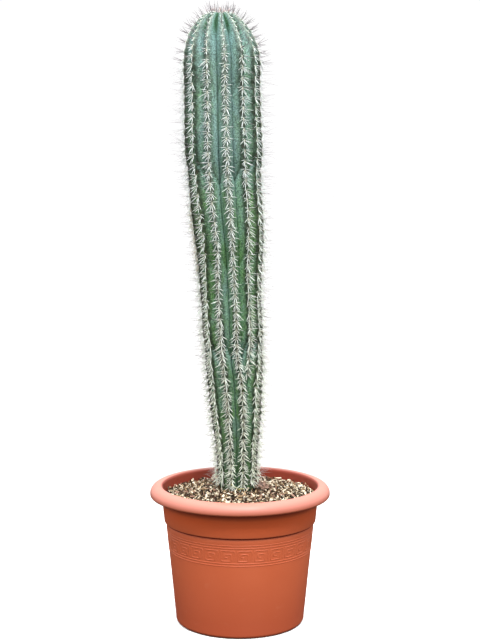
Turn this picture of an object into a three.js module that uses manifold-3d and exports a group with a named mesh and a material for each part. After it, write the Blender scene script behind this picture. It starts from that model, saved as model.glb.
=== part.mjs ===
// A young giant cardon in its pot: a plastic pot, potting soil, a gravel dressing and one spiny stem.
// Millimetres, +Z up. The origin is the centre of the pot's foot, on the surface that it stands on.
import * as THREE from "three";
import { mergeVertices } from "three/addons/utils/BufferGeometryUtils.js";
import Module from "manifold-3d";

const wasm = await Module();
wasm.setup();

// Driving dimensions of the pot
const RIM_RADIUS = 130;
const RIM_TOP = 200.5;
const LIP_WIDTH = 13;
const LIP_HEIGHT = 12;
const LIP_EDGE_Z = 184.5;
const WALL = 2.5;
const TAPER = 0.1;
const STEP_Z = 148;
const BAND_RADIUS = 109.6;
const STEP_WIDTH = 2.3;
const FOOT_RADIUS = 90;
const FOOT_WIDTH = 7;
const FOOT_HEIGHT = 4;
const FOOT_CHAMFER = 5;
const DRAIN_HOLES = 6;
const DRAIN_RADIUS = 6;
const DRAIN_CIRCLE = 60;
const POT_SIDES = 60;

// Driving dimensions of what fills the pot
const GAP = 0.3;
const GRAVEL_BASE_Z = 182;
const GRAVEL_EDGE_Z = 187.5;
const GRAVEL_CROWN_Z = 191.5;
const GRAVEL_RADIUS = 109.4;
const GRAIN_PITCH = 5.5;
const GRAIN_HEIGHT = 3.4;
const STEM_HOLE_RADIUS = 28.6;
const HOLE_SIDES = 36;

// Driving dimensions of the stem
const SOIL_Z = 195;
const STEM_X = -4;
const STEM_Y = 20;
const LEAN = -22;
const RIBS = 13;
const LATE_RIBS = [0, 4, 8];
const LATE_RIB_FROM = 140;
const LATE_RIB_FULL = 215;
const LATE_RIB_WIDTH = 0.12;
const FIRST_RIB_DEG = -58.2;
const VALLEY_SHARE = 0.27;
const FLANK_POWER = 1.35;
// Places across a rib, from valley (-1) over the crest (0) to the next valley (1)
const ACROSS = [-1, -0.56, -0.14, 0.14, 0.56];
const CREST_COLUMN = 2;
const BURIED_DEPTH = 45;
const WAISTS = [207, 443];
const WAIST_DEPTH = 2;
const DOME_FROM = 606;
const DOME_RADIUS = 55;
const DOME_HEIGHT = 72;
const DOME_END_DEG = 74;
const APEX_SINK = 2;
// Crest radius of the stem at heights above the soil
const GIRTH = [
  [-45, 24], [0, 28], [55, 31.5], [100, 36.5], [150, 40], [207, 44], [265, 44.2],
  [300, 46.6], [345, 51.8], [385, 53.2], [430, 52.7], [485, 56], [540, 55.2], [606, 55.4],
];

// Driving dimensions of the areoles and spines
const PAD_HALF_HEIGHT = 2.3;
const PAD_HALF_HEIGHT_MOST = 0.22;
const PAD_HALF_WIDTH_SHARE = 0.36;
const PAD_RISE = 0.9;
const PAD_WANDER = 0.3;
const YOUNG_FROM = 560;
const YOUNG_FULL = 670;
const FULL_RIB_WIDTH = 28;
const SHORTEST_SHARE = 0.45;
const SPINE_TURN = 0.26;
const SPINE_VARIES = 3;
// Directions as shares outwards, sideways and upwards, a length, and what the crown's spines have extra
const SPINES = [
  { out: 0.62, sideways: 0, up: -0.78, length: 9, extra: 0 },
  { out: 0.6, sideways: 0.75, up: -0.35, length: 11, extra: 0 },
  { out: 1, sideways: 0, up: 0.12, length: 15, extra: 5 },
  { out: 0.6, sideways: -0.75, up: -0.35, length: 11, extra: 0 },
];
const FIRST_AREOLE_H = 3;
const LEAST_GROWTH = 0.35;
const SEED = 20;

const Z_AXIS = new THREE.Vector3(0, 0, 1);

// Seeded random numbers from 0 to 1
function randomFrom(seed) {
  let state = seed >>> 0;
  return () => {
    state = (state + 0x6d2b79f5) >>> 0;
    let t = Math.imul(state ^ (state >>> 15), state | 1);
    t ^= t + Math.imul(t ^ (t >>> 7), t | 61);
    return ((t ^ (t >>> 14)) >>> 0) / 4294967296;
  };
}

const clamp01 = (x) => Math.min(1, Math.max(0, x));
const lerp = (a, b, t) => a + (b - a) * t;

function smooth(x) {
  const t = clamp01(x);
  return t * t * (3 - 2 * t);
}

// A closed geometry as a manifold-3d solid
function solidOf(geometry) {
  const bare = geometry.index ? geometry.toNonIndexed() : geometry.clone();
  bare.deleteAttribute("normal");
  bare.deleteAttribute("uv");
  const merged = mergeVertices(bare, 1e-3);
  return new wasm.Manifold(
    new wasm.Mesh({
      numProp: 3,
      vertProperties: merged.getAttribute("position").array,
      triVerts: new Uint32Array(merged.index.array),
    }),
  );
}

// A geometry from flat lists of coordinates and of vertex indices
function geometryOf(positions, indices) {
  const geometry = new THREE.BufferGeometry();
  geometry.setAttribute("position", new THREE.BufferAttribute(new Float32Array(positions), 3));
  geometry.setIndex(new THREE.BufferAttribute(new Uint32Array(indices), 1));
  geometry.computeVertexNormals();
  return geometry;
}

function geometryOfSolid(solid) {
  const mesh = solid.getMesh();
  return geometryOf(mesh.vertProperties, mesh.triVerts);
}

// A profile of [radius, height] pairs turned round the Z axis
function turned(profile, sides) {
  const points = profile.map(([r, z]) => new THREE.Vector2(r, z));
  return new THREE.LatheGeometry(points, sides).rotateX(Math.PI / 2);
}

// An upright cylinder from one height to another
function upright(radius, z0, z1, sides, x = 0, y = 0) {
  return new THREE.CylinderGeometry(radius, radius, z1 - z0, sides)
    .rotateX(Math.PI / 2)
    .translate(x, y, (z0 + z1) / 2);
}

// Points on an ellipse in the profile's plane, angles in degrees
function arc(r, z, halfWidth, halfHeight, from, to, steps) {
  return Array.from({ length: steps + 1 }, (_, i) => {
    const angle = THREE.MathUtils.degToRad(lerp(from, to, i / steps));
    return [r + halfWidth * Math.cos(angle), z + halfHeight * Math.sin(angle)];
  });
}

// The pot's outer wall, which is wider above the step
function wallRadius(z) {
  const narrower = z < STEP_Z ? STEP_WIDTH : 0;
  return BAND_RADIUS + (z - STEP_Z) * TAPER - narrower;
}

// The pot: foot ring, tapered wall with a step, and a rolled lip that is open underneath
function potGeometry() {
  const lipR = RIM_RADIUS - LIP_WIDTH;
  const lipZ = RIM_TOP - LIP_HEIGHT;
  const footInner = FOOT_RADIUS - FOOT_WIDTH;
  const floorTop = FOOT_HEIGHT + WALL;
  const lipInside = arc(lipR, lipZ, LIP_WIDTH - WALL, LIP_HEIGHT - WALL, 108, 0, 4);
  const lipOutside = arc(lipR, lipZ, LIP_WIDTH, LIP_HEIGHT, 0, 112, 6);
  const profile = [
    [0, FOOT_HEIGHT],
    [footInner - 2, FOOT_HEIGHT],
    [footInner, 0],
    [FOOT_RADIUS, 0],
    [wallRadius(FOOT_CHAMFER), FOOT_CHAMFER],
    [wallRadius(STEP_Z - 1), STEP_Z - 1],
    [BAND_RADIUS, STEP_Z],
    [wallRadius(LIP_EDGE_Z), LIP_EDGE_Z],
    ...lipInside,
    [RIM_RADIUS - WALL - 0.6, LIP_EDGE_Z],
    [RIM_RADIUS - 0.6, LIP_EDGE_Z],
    ...lipOutside,
    [wallRadius(lipZ + 6) - WALL, lipZ + 6],
    [BAND_RADIUS - WALL, STEP_Z],
    [wallRadius(STEP_Z - 1) - WALL, STEP_Z - 1],
    [wallRadius(floorTop) - WALL, floorTop],
    [0, floorTop],
  ];
  let pot = solidOf(turned(profile, POT_SIDES));
  for (let i = 0; i < DRAIN_HOLES; i++) {
    const angle = (i / DRAIN_HOLES) * 2 * Math.PI;
    const x = DRAIN_CIRCLE * Math.cos(angle);
    const y = DRAIN_CIRCLE * Math.sin(angle);
    pot = pot.subtract(solidOf(upright(DRAIN_RADIUS, -1, floorTop + 1, 12, x, y)));
  }
  return geometryOfSolid(pot);
}

// The soil fills the pot up to the gravel, with a blind hole for the buried end of the stem
function soilGeometry() {
  const bottom = FOOT_HEIGHT + WALL + GAP;
  const top = GRAVEL_BASE_Z - GAP;
  const inside = (z) => wallRadius(z) - WALL - GAP;
  const profile = [
    [0, bottom],
    [inside(bottom), bottom],
    [inside(STEP_Z - 1), STEP_Z - 1 + GAP],
    [inside(STEP_Z), STEP_Z + GAP],
    [inside(top), top],
    [0, top],
  ];
  const holeBottom = SOIL_Z - BURIED_DEPTH - GAP;
  const hole = upright(STEM_HOLE_RADIUS, holeBottom, top + 1, HOLE_SIDES, STEM_X, STEM_Y);
  return geometryOfSolid(solidOf(turned(profile, POT_SIDES)).subtract(solidOf(hole)));
}

// Triangles between two closed rings of vertex indices, which may differ in number
function zip(a, b, indices) {
  let i = 0;
  let j = 0;
  while (i < a.length || j < b.length) {
    const next = i < a.length && (j >= b.length || (i + 1) / a.length <= (j + 1) / b.length);
    const from = a[i % a.length];
    const across = b[j % b.length];
    if (next) {
      indices.push(from, a[(i + 1) % a.length], across);
      i++;
    } else {
      indices.push(from, b[(j + 1) % b.length], across);
      j++;
    }
  }
}

// A ring of vertices about a centre that moves from the stem's hole (0) to the pot's axis (1)
function gravelRing(positions, share, count, z, grains, random) {
  const radius = lerp(STEM_HOLE_RADIUS, GRAVEL_RADIUS, share);
  const cx = lerp(STEM_X, 0, share);
  const cy = lerp(STEM_Y, 0, share);
  return Array.from({ length: count }, (_, i) => {
    const jitter = grains ? random() - 0.5 : 0;
    const angle = ((i + 0.5 * jitter) / count) * 2 * Math.PI;
    const crown = (i + 2 * grains) % 3 ? 0.25 * random() : 0.7 + 0.3 * random();
    const r = radius + (grains > 1 ? 0.3 * GRAIN_PITCH * (random() - 0.5) : 0);
    const rise = grains ? crown * GRAIN_HEIGHT : 0;
    positions.push(cx + r * Math.cos(angle), cy + r * Math.sin(angle), z + rise);
    return positions.length / 3 - 1;
  });
}

// The gravel: a layer whose top is raised into grains, higher round the stem than at the wall
function gravelGeometry() {
  const random = randomFrom(SEED);
  const rows = Math.round((GRAVEL_RADIUS - STEM_HOLE_RADIUS) / GRAIN_PITCH);
  const positions = [];
  const countAt = (share) => {
    const around = 2 * Math.PI * lerp(STEM_HOLE_RADIUS, GRAVEL_RADIUS, share);
    return 3 * Math.round(around / GRAIN_PITCH / 3);
  };
  const rings = [
    gravelRing(positions, 0, countAt(0), GRAVEL_BASE_Z, 0, random),
    gravelRing(positions, 1, countAt(1), GRAVEL_BASE_Z, 0, random),
  ];
  for (let k = 0; k <= rows; k++) {
    const share = 1 - k / rows;
    const z = lerp(GRAVEL_CROWN_Z, GRAVEL_EDGE_Z, share);
    const edge = k === 0 || k === rows;
    rings.push(gravelRing(positions, share, countAt(share), z, edge ? 1 : 2 + (k % 2), random));
  }
  const indices = [];
  rings.forEach((ring, k) => zip(ring, rings[(k + 1) % rings.length], indices));
  return geometryOf(positions, indices);
}

// Crest radius of the stem at a height above the soil: a smooth curve through the girths
function crestRadius(h) {
  let i = 0;
  while (i < GIRTH.length - 2 && h > GIRTH[i + 1][0]) i++;
  const slope = (k) => {
    const a = GIRTH[Math.max(0, k - 1)];
    const b = GIRTH[Math.min(GIRTH.length - 1, k + 1)];
    return (b[1] - a[1]) / (b[0] - a[0]);
  };
  const [h0, r0] = GIRTH[i];
  const [h1, r1] = GIRTH[i + 1];
  const span = h1 - h0;
  const t = clamp01((h - h0) / span);
  const t2 = t * t;
  const t3 = t2 * t;
  return (
    (2 * t3 - 3 * t2 + 1) * r0 +
    (t3 - 2 * t2 + t) * span * slope(i) +
    (3 * t2 - 2 * t3) * r1 +
    (t3 - t2) * span * slope(i + 1)
  );
}

// The stem's axis leans to one side in a slow S
function axisX(h) {
  return STEM_X + LEAN * smooth(h / DOME_FROM);
}

// One place on the crest line: radius, height above the soil, and the slope of the surface there
function place(r, h, normalDeg) {
  const angle = THREE.MathUtils.degToRad(normalDeg);
  return { r, h, out: Math.cos(angle), up: Math.sin(angle) };
}

// Evenly spaced heights from one to another, without the first
function heights(from, to, cells) {
  return Array.from({ length: cells }, (_, i) => lerp(from, to, (i + 1) / cells));
}

// The crest line from the buried end to the edge of the sunken apex
function crestLine() {
  const buried = [
    place(13, -BURIED_DEPTH, -70),
    place(crestRadius(-38), -38, 0),
    place(crestRadius(-8), -8, 0),
  ];
  const column = [
    ...heights(-8, WAISTS[0], 10),
    ...heights(WAISTS[0], WAISTS[1], 9),
    ...heights(WAISTS[1], DOME_FROM, 6),
  ].map((h) => place(crestRadius(h) - (WAISTS.includes(h) ? WAIST_DEPTH : 0), h, 0));
  const dome = heights(0, DOME_END_DEG, 5).map((deg) => {
    const t = THREE.MathUtils.degToRad(deg);
    const r = DOME_RADIUS * Math.cos(t);
    const normal = Math.atan2(Math.sin(t) / DOME_HEIGHT, Math.cos(t) / DOME_RADIUS);
    return place(r, DOME_FROM + DOME_HEIGHT * Math.sin(t), THREE.MathUtils.radToDeg(normal));
  });
  return [...buried, ...column, ...dome];
}

// How far a rib has grown at a height: the late ribs begin part of the way up
function ribGrowth(rib, h) {
  if (!LATE_RIBS.includes(rib)) return 1;
  return smooth((h - LATE_RIB_FROM) / (LATE_RIB_FULL - LATE_RIB_FROM));
}

// The ribs' edges at a height, as angles. The first rib stays centred where it is.
function ribEdges(h) {
  const widths = Array.from({ length: RIBS }, (_, rib) => lerp(LATE_RIB_WIDTH, 1, ribGrowth(rib, h)));
  const total = widths.reduce((sum, w) => sum + w, 0);
  const edges = [THREE.MathUtils.degToRad(FIRST_RIB_DEG) - (widths[0] / total) * Math.PI];
  for (const w of widths) edges.push(edges.at(-1) + (w / total) * 2 * Math.PI);
  return edges;
}

// The outward and upward directions at an angle round the stem
function frameAt(spot, angle) {
  const outward = new THREE.Vector3(Math.cos(angle), Math.sin(angle), 0);
  const normal = outward.clone().multiplyScalar(spot.out).addScaledVector(Z_AXIS, spot.up);
  const upward = outward.clone().multiplyScalar(-spot.up).addScaledVector(Z_AXIS, spot.out);
  const sideways = new THREE.Vector3(-Math.sin(angle), Math.cos(angle), 0);
  return { outward, normal, upward, sideways };
}

// One ring of vertices round the stem, with the valleys sunk along the surface's normal
function stemRing(spot) {
  const edges = ribEdges(spot.h);
  const points = [];
  for (let rib = 0; rib < RIBS; rib++) {
    for (const across of ACROSS) {
      const angle = lerp(edges[rib], edges[rib + 1], (across + 1) / 2);
      const { outward, normal } = frameAt(spot, angle);
      const crest = ribGrowth(rib, spot.h) * (1 - Math.abs(across) ** FLANK_POWER);
      const sunk = VALLEY_SHARE * spot.r * (1 - crest);
      points.push(
        new THREE.Vector3(axisX(spot.h), STEM_Y, SOIL_Z + spot.h)
          .addScaledVector(outward, spot.r)
          .addScaledVector(normal, -sunk),
      );
    }
  }
  return points;
}

// The spines of one areole. Where a rib is narrow, they spread less and the outer ones are shorter.
function spinesAt(spot, room, random) {
  const vary = (size) => size * (random() - 0.5);
  const young = smooth((spot.h - YOUNG_FROM) / (YOUNG_FULL - YOUNG_FROM));
  const spread = Math.min(1, room / FULL_RIB_WIDTH);
  return SPINES.map(({ out, sideways, up, length, extra }) => ({
    out,
    sideways: (sideways + vary(SPINE_TURN)) * spread,
    up: up + vary(SPINE_TURN),
    length: length * (sideways ? lerp(SHORTEST_SHARE, 1, spread) : 1) + extra * young + vary(SPINE_VARIES),
  }));
}

// The areole in one cell of a crest: a raised pad drawn out into four spines
function areole(mesh, corners, spot, angle, cellHeight, random) {
  const [lowLeft, lowRight, highRight, highLeft] = corners.map((i) => mesh.points[i]);
  const at = (a, b) => lowLeft.clone().lerp(lowRight, a).lerp(highLeft.clone().lerp(highRight, a), b);
  const { normal, upward, sideways } = frameAt(spot, angle);
  const middle = 0.5 + PAD_WANDER * (random() - 0.5);
  const halfHeight = Math.min(PAD_HALF_HEIGHT_MOST, PAD_HALF_HEIGHT / cellHeight);
  const add = (point) => mesh.points.push(point.addScaledVector(normal, PAD_RISE)) - 1;
  const left = 0.5 - PAD_HALF_WIDTH_SHARE;
  const right = 0.5 + PAD_HALF_WIDTH_SHARE;
  const low = middle - halfHeight;
  const high = middle + halfHeight;
  const pad = [add(at(left, low)), add(at(right, low)), add(at(right, high)), add(at(left, high))];
  const centre = add(at(0.5, middle));
  const crestShare = (ACROSS[CREST_COLUMN + 1] - ACROSS[CREST_COLUMN]) / 2;
  const spines = spinesAt(spot, lowLeft.distanceTo(lowRight) / crestShare, random);
  for (let side = 0; side < 4; side++) {
    const next = (side + 1) % 4;
    mesh.quad(corners[side], corners[next], pad[next], pad[side]);
    const { out, sideways: across, up, length } = spines[side];
    const direction = normal
      .clone()
      .multiplyScalar(out)
      .addScaledVector(sideways, across)
      .addScaledVector(upward, up)
      .normalize();
    const base = [pad[side], pad[next], centre];
    const root = base.reduce((sum, i) => sum.add(mesh.points[i]), new THREE.Vector3()).divideScalar(3);
    const tip = mesh.points.push(root.addScaledVector(direction, length)) - 1;
    for (let e = 0; e < 3; e++) mesh.indices.push(base[e], base[(e + 1) % 3], tip);
  }
}

// Whether a crest cell carries an areole: above the gravel, and on a rib that has grown there
function carriesAreole(rib, h) {
  return h > FIRST_AREOLE_H && ribGrowth(rib, h) > LEAST_GROWTH;
}

// The stem: a ribbed column with a domed top, whose crests are drawn out into spines
function stemGeometry() {
  const random = randomFrom(SEED + 1);
  const line = crestLine();
  const columns = RIBS * ACROSS.length;
  const mesh = {
    points: line.flatMap(stemRing),
    indices: [],
    quad(a, b, c, d) {
      this.indices.push(a, b, c, a, c, d);
    },
  };
  for (let row = 0; row < line.length - 1; row++) {
    const [below, above] = [line[row], line[row + 1]];
    const h = (below.h + above.h) / 2;
    const edges = ribEdges(h);
    const spot = { ...above, h, out: (below.out + above.out) / 2, up: (below.up + above.up) / 2 };
    const cellHeight = Math.hypot(above.r - below.r, above.h - below.h);
    for (let column = 0; column < columns; column++) {
      const next = (column + 1) % columns;
      const corners = [
        row * columns + column,
        row * columns + next,
        (row + 1) * columns + next,
        (row + 1) * columns + column,
      ];
      const rib = Math.floor(column / ACROSS.length);
      const onCrest = column % ACROSS.length === CREST_COLUMN;
      if (onCrest && carriesAreole(rib, h)) {
        const angle = (edges[rib] + edges[rib + 1]) / 2;
        areole(mesh, corners, spot, angle, cellHeight, random);
      } else {
        mesh.quad(...corners);
      }
    }
  }
  const first = line[0];
  const last = line.at(-1);
  const bottom = mesh.points.push(new THREE.Vector3(axisX(first.h), STEM_Y, SOIL_Z + first.h)) - 1;
  const apexZ = SOIL_Z + last.h - APEX_SINK;
  const apex = mesh.points.push(new THREE.Vector3(axisX(last.h), STEM_Y, apexZ)) - 1;
  const top = (line.length - 1) * columns;
  for (let column = 0; column < columns; column++) {
    const next = (column + 1) % columns;
    mesh.indices.push(next, column, bottom);
    mesh.indices.push(top + column, top + next, apex);
  }
  return geometryOf(mesh.points.flatMap((p) => p.toArray()), mesh.indices);
}

function piece(name, geometry, color, roughness) {
  const material = new THREE.MeshStandardMaterial({ color, roughness, metalness: 0, flatShading: true });
  const mesh = new THREE.Mesh(geometry, material);
  mesh.name = name;
  return mesh;
}

const plant = new THREE.Group();
plant.add(
  piece("pot", potGeometry(), 0xc25f3f, 0.5),
  piece("soil", soilGeometry(), 0x3b2d22, 0.95),
  piece("gravel", gravelGeometry(), 0xb7a284, 0.9),
  piece("cactus", stemGeometry(), 0x5c8a74, 0.6),
);

export default plant;
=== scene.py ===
"""A young giant cardon in a terracotta-coloured plastic pot.

Lengths are in millimetres up to mesh_piece(), which turns them into Blender's metres. The materials and
the stage are in metres. Heights called h are above the soil at the stem, and heights called z are above
the surface that the pot stands on.
"""

import math
from collections import namedtuple

import bmesh
import bpy
import numpy as np
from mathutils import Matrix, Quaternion, Vector


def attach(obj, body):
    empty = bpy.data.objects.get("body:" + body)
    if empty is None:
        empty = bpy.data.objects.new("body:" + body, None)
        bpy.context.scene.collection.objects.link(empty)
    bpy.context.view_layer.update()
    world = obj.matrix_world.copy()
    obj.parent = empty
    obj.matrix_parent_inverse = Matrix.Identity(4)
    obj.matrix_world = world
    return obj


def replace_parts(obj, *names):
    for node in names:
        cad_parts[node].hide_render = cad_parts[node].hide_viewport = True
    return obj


MM = 0.001
TAU = 2 * math.pi
UP = np.array([0, 0, 1.0])

# The pot, at the sizes of its solid
RIM_RADIUS = 130.0
RIM_TOP = 200.5
LIP_WIDTH = 13.0
LIP_HEIGHT = 12.0
LIP_EDGE_Z = 184.5
WALL = 2.5
TAPER = 0.1
STEP_Z = 148.0
BAND_RADIUS = 109.6
STEP_WIDTH = 2.3
FOOT_RADIUS = 90.0
FOOT_WIDTH = 7.0
FOOT_HEIGHT = 4.0
FOOT_FILLET = 5.5
INNER_FILLET = 3.0
DRAIN_HOLES = 6
DRAIN_RADIUS = 6.0
DRAIN_CIRCLE = 60.0
DRAIN_DEPTH = 30.0
DRAIN_SIDES = 40
POT_SIDES = 240

# The meander band that is raised on the pot's wall
KEYS = 28
KEY_SHIFT = 0.12
KEY_Z = (115.0, 129.8)
LINE_Z = (107.8, 111.4, 133.6, 137.2)
LINE_WIDTH = 1.5
RIDGE_WIDTH = 1.7
RIDGE_HEIGHT = 0.32
RIDGE_SUNK = 0.25
RIDGE_STEP = 3.0
MITRE_LIMIT = 0.35
# One key as a path: shares of a key's width, and of its height
KEY_PATH = [
    (0.8, 0), (0.8, 1), (0, 1), (0, 0), (0.58, 0), (0.58, 0.68), (0.2, 0.68), (0.2, 0.34), (0.38, 0.34),
]

# The gravel and the soil
SOIL_Z = 195.0
GRAVEL_CROWN_Z = 191.5
GRAVEL_EDGE_Z = 187.5
GRAVEL_BASE_Z = 182.0
GRAVEL_RADIUS = 109.4
GRAVEL_INNER_RADIUS = 28.0
BACK_DROP = 3.0
# Slow waves over the gravel: how many, and the spans of their height, two slopes and shift
WAVES = 6
WAVE_SPANS = [(0.25, 0.6), (-0.12, 0.12), (-0.12, 0.12), (0, TAU)]
BED_DROP = 2.2
BED_RINGS = 56
BED_SIDES = 200
# Each layer of grains: pitch, height over the surface, and the share of its places that are taken
GRAIN_LAYERS = [(4.8, -1.6, 0.9), (6.0, 0.6, 0.75), (7.2, 2.3, 0.55)]
GRAIN_ROW = 0.866
GRAIN_JITTER = 0.38
GRAIN_SIZE = 2.2
GRAIN_KINDS = 24
GRAIN_CORNERS = 15
# The grains' colours: name, share of the grains, and the darkest and lightest tone
GRITS = [
    ("cream", 0.32, (184, 167, 139), (230, 219, 197)),
    ("tan", 0.23, (118, 96, 70), (164, 139, 107)),
    ("brown", 0.19, (52, 37, 24), (101, 77, 52)),
    ("pink", 0.1, (111, 79, 66), (162, 128, 111)),
    ("dark", 0.16, (26, 20, 13), (64, 51, 38)),
]

# A heap of chips beside the stem, and a straw at its foot
HEAP_PLACE = (32.0, 10.0)
HEAP_SPREAD = (9.0, 10.0)
HEAP_HEIGHT = 13.0
HEAP_CHIPS = 100
STRAW_BENDS = [(-12.5, -9.5, 202.0), (-3.0, -12.5, 195.5), (7.5, -11.5, 195.8)]
STRAW_WIDTH = 1.2
STRAW_SIDES = 6
STRAW_OVERLAP = 1.08

# The stem: its solid's sizes, but a little slimmer and with a swerve half way up
STEM_X = -4.0
STEM_Y = 20.0
LEAN = -22.0
SWERVE = 2.2
SWERVE_H = 350.0
SWERVE_REACH = 45.0
VALLEY_SHARE = 0.27
FLANK_POWER = 1.35
DOME_FROM = 606.0
DOME_RADIUS = 55.0
DOME_HEIGHT = 75.0
APEX_SINK = 5.0
APEX_SINK_FROM_DEG = 68
APEX_LEAN = -2.5
STEM_START_H = -22.0
STEM_ROWS = 320
DOME_ROWS = 44
RIB_COLUMNS = 20
# The radius at the crests of the ribs, by height
GIRTH = [
    (-45, 24), (0, 28), (55, 31.5), (100, 36.5), (150, 40), (207, 44), (265, 44.2),
    (300, 45.6), (345, 49.4), (385, 51.8), (430, 52.5), (485, 56), (540, 55.2), (606, 55.4),
]

# The ribs, some of which begin part of the way up, and some of which are narrower below that
RIBS = 13
FIRST_RIB_DEG = -58.2
LATE_RIBS = (0, 4, 8)
LATE_RIB_FROM = 140.0
LATE_RIB_FULL = 215.0
LATE_RIB_WIDTH = 0.06
NARROW_RIBS = {10: 0.95, 11: 0.9, 12: 0.9, 1: 0.9}
# Where a valley strays from its even place: valley, height, how far up and down, and degrees
STRAYS = [
    (0, 60, 90, 3), (0, 265, 70, 4.5), (0, 410, 50, 4), (0, 545, 80, 2),
    (1, 60, 90, 2), (1, 250, 60, 4), (1, 410, 60, 5),
    (2, 60, 90, -5), (3, 300, 80, -4), (5, 420, 70, 4), (7, 250, 60, -4), (8, 470, 60, 3),
    (10, 60, 90, 6), (10, 270, 50, 2), (10, 370, 70, 6), (10, 560, 90, 3.5),
    (11, 60, 90, 3), (11, 265, 50, -2), (11, 370, 60, 7.5), (11, 560, 90, 3.5),
    (12, 60, 90, 2), (12, 265, 70, 5), (12, 545, 80, 2),
]

# Each pause in growth left a waist with slanting folds: height, depth, and how strongly it shows
PAUSES = [(203.0, 2.0, 1.0), (455.0, 1.6, 0.8), (572.0, 0.5, 0.4), (330.0, 0.5, 0.35)]
WAIST_REACH = 13.0
FOLD_RISE = 32.0
FOLD_SHIFT = 8.0

# How green the skin is, against its blue-green bloom, by height
GREENING = [
    (0, 0.72), (150, 0.55), (200, 0.45), (270, 0.45), (340, 0.7), (395, 0.5), (430, 0.3),
    (487, 0.1), (530, 0.05), (620, 0.1), (650, 0.12), (690, 0.35),
]
# Patches where the bloom is rubbed off: azimuth in degrees, height, their half sizes, and how green
GREEN_PATCHES = [
    (-70, 325, 13, 50, 0.5), (-43, 372, 13, 40, 0.6), (-73, 244, 13, 24, 0.5), (-128, 290, 12, 40, 0.35),
]

# The areoles and spines. The spacing of the areoles goes by height
AREOLE_SPACING = [
    (0, 9.6), (200, 10.2), (240, 13.2), (520, 14.2), (606, 14.0), (640, 11.5), (672, 6.5), (705, 3.6),
]
FIRST_AREOLE_H = 4.0
LEAST_GROWTH = 0.3
CROWDED_FROM = DOME_FROM + 60
FELT_SIDES = 8
# The felt's rings, from its edge up: share of its size, and height
FELT_RINGS = [(1.0, -0.5), (0.86, 0.35), (0.5, 0.8)]
SPINE_LENGTH = 11.5
# A needle's rings: share of its length, and share of its width
NEEDLE_RINGS = [(0.0, 1.0), (0.4, 0.9), (0.8, 0.6)]
COAT_ROUGHNESS = 0.25

# The studio, in metres. Its brightness goes by the height of a direction over the horizon
SKY_TOP = 4.9
SKY = [
    (-0.05, 0.06), (-0.035, 1.03), (0.145, 1.03), (0.19, 0.95), (0.5, 1.5), (0.8, 2.8), (1.0, SKY_TOP),
]
SOFTBOX_PLACE = (0.35, -2.13, 3.49)
SOFTBOX_TARGET = (0, 0, 0.4)
SOFTBOX_SIZE = 1.3
SOFTBOX_WATTS = 157
FLOOR_RADIUS = 40
# The floor's brightness by the distance from the pot: painted brighter round the pot, a pool of light that
# washes out its shadow; the far floor is the backdrop of the spines
FLOOR_TONES = [(0.45, 0.9), (0.9, 0.39)]
EYE = (0, -1.9, 0.6436)
EYE_TILT_DEG = 6.148
LENS = 75.2
SENSOR = 36


def lerp(a, b, t):
    return a + (b - a) * t


def smooth(x):
    t = np.clip(x, 0, 1)
    return t * t * (3 - 2 * t)


def rise(x, start, span):
    """0 up to a start, 1 from a span beyond it, and smooth between them."""
    return smooth((x - start) / span)


def bell(x, reach, power=2):
    """1 at 0, and smoothly less on both sides."""
    return np.exp(-((x / reach) ** power))


def unit(vectors):
    return vectors / np.linalg.norm(vectors, axis=-1, keepdims=True)


def outwards(angle):
    """Level directions at angles round an axis."""
    return np.stack([np.cos(angle), np.sin(angle), np.zeros_like(angle)], axis=-1)


def placed(name, data, location=(0, 0, 0)):
    """A new object in the scene."""
    thing = bpy.data.objects.new(name, data)
    bpy.context.scene.collection.objects.link(thing)
    thing.location = location
    return thing


# Meshes

def mesh_piece(name, points, faces, slot, material, shade_smooth=True, attributes=None):
    """A piece that rides on the object's one body. Its attributes hold a value for each point."""
    mesh = bpy.data.meshes.new(name)
    mesh.from_pydata((np.asarray(points) * MM).tolist(), [], [tuple(map(int, face)) for face in faces])
    mesh.materials.append(material)
    for key, values in (attributes or {}).items():
        layer = mesh.attributes.new(key, "FLOAT", "POINT")
        layer.data.foreach_set("value", np.asarray(values, np.float32))
    mesh.polygons.foreach_set("use_smooth", np.full(len(mesh.polygons), shade_smooth))
    mesh.update()
    piece = placed(name, mesh)
    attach(piece, "root")
    return piece


class Pile:
    """Many small bodies, gathered to be made as one piece."""

    def __init__(self):
        self.points = []
        self.faces = []
        self.count = 0

    def add(self, points, faces):
        self.points.append(points)
        self.faces += [[index + self.count for index in face] for face in faces]
        self.count += len(points)

    def piece(self, name, slot, material, **looks):
        return mesh_piece(name, np.vstack(self.points), self.faces, slot, material, **looks)


def grid_faces(rows, columns, closed=False):
    """Faces of a grid that meets itself across its columns, and if closed, across its rows too."""
    row = np.arange(rows if closed else rows - 1)[:, None] * columns
    column = np.arange(columns)
    across = (column + 1) % columns
    corners = [row + column, row + across, row + columns + across, row + columns + column]
    return np.stack([corner.ravel() for corner in corners], axis=1) % (rows * columns)


def fan(start, count, tip):
    """Triangles from a ring of points to a tip."""
    return [(start + i, start + (i + 1) % count, tip) for i in range(count)]


def turned(profile, sides):
    """A closed profile of (radius, height), outside on its right, turned round the pot's axis."""
    r, z = np.array(profile).T[..., None, None]
    points = r * outwards(np.arange(sides) / sides * TAU) + z * UP
    return points.reshape(-1, 3), grid_faces(len(profile), sides, closed=True)


def arc(r, z, half_width, half_height, start, end, steps):
    """Points on an ellipse in a profile's plane, from one angle to another in degrees."""
    angle = np.radians(np.linspace(start, end, steps + 1))
    return list(zip(r + half_width * np.cos(angle), z + half_height * np.sin(angle)))


# Materials

def srgb(red, green, blue):
    """A colour on the screen, 0 to 255, as Blender's linear colour."""
    share = [c / 255 for c in (red, green, blue)]
    return [c / 12.92 if c <= 0.04045 else ((c + 0.055) / 1.055) ** 2.4 for c in share] + [1.0]


def grey(value):
    return (value, value, value, 1)


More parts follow.
